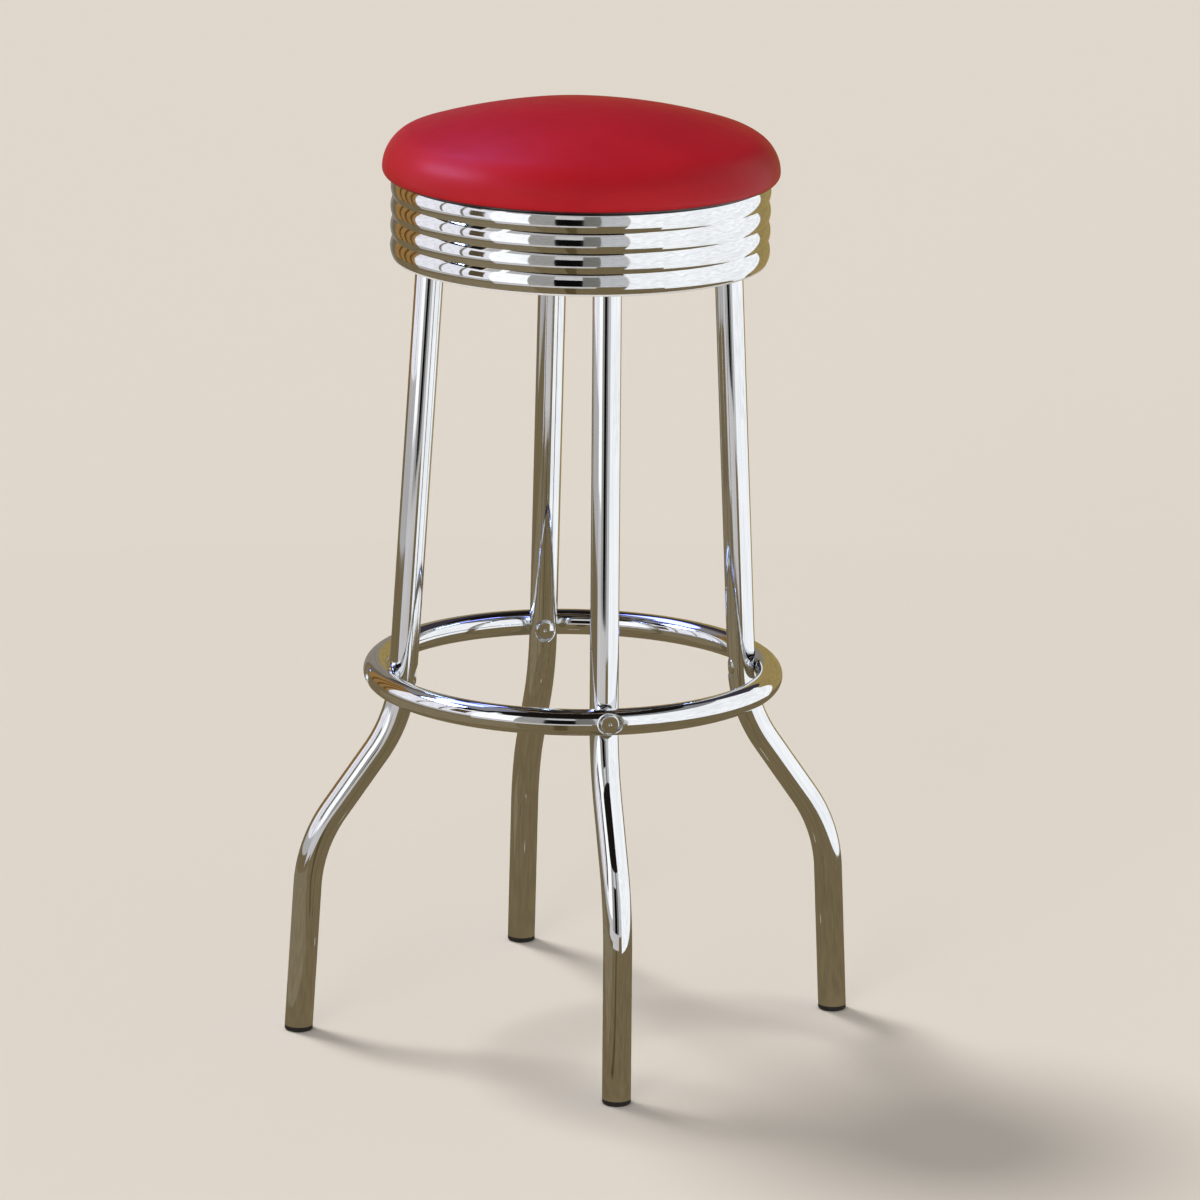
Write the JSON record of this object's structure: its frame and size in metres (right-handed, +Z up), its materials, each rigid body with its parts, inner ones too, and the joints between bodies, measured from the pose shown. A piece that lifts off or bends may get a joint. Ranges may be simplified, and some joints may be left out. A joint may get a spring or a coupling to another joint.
{
  "type": "diner counter stool",
  "caption": "Backless swivel counter stool: domed vinyl seat in a ribbed chrome band, splayed bent tube legs and a foot ring.",
  "frame": {"origin": "on the floor, under the centre of the seat", "axes": "+Z up along the swivel's axis, the front leg stands on -Y, the right leg on +X"},
  "size_m": [0.4528, 0.4528, 0.737],
  "materials": {
    "red_vinyl": "smooth vinyl-coated upholstery fabric, satin sheen",
    "foam": "open-cell upholstery foam",
    "plywood": "raw plywood",
    "staple_steel": "galvanised wire",
    "chrome": "polished chrome plate",
    "zinc_steel": "zinc-plated steel",
    "bearing_steel": "polished bearing steel",
    "black_steel": "black powder coat",
    "glide_black": "moulded black plastic"
  },
  "bodies": {
    "stool_base": {"lower_swivel_plate": "zinc_steel", "bearing_balls": "bearing_steel", "ball_retainer": "zinc_steel", "swivel_pin": "zinc_steel", "pin_washer": "zinc_steel", "mounting_plate": "black_steel", "swivel_bolts": "zinc_steel", "swivel_nuts": "zinc_steel", "leg_bolts": "zinc_steel", "leg_nuts": "zinc_steel", "foot_ring": "chrome", "ring_bolts": "chrome", "ring_nuts": "chrome", "leg_front": "chrome", "glide_front": "glide_black", "leg_right": "chrome", "glide_right": "glide_black", "leg_back": "chrome", "glide_back": "glide_black", "leg_left": "chrome", "glide_left": "glide_black"},
    "swivel_seat": {"seat_cover": "red_vinyl", "foam_pad": "foam", "seat_board": "plywood", "cover_staples": "staple_steel", "seat_band": "chrome", "band_screws": "zinc_steel", "upper_swivel_plate": "zinc_steel", "swivel_screws": "zinc_steel"}
  },
  "joints": [
    {"name": "seat_swivel", "type": "hinge", "parent": "stool_base", "child": "swivel_seat", "pos_m": [0, 0, 0.6734], "axis": [0, 0, 1], "continuous": true}
  ]
}
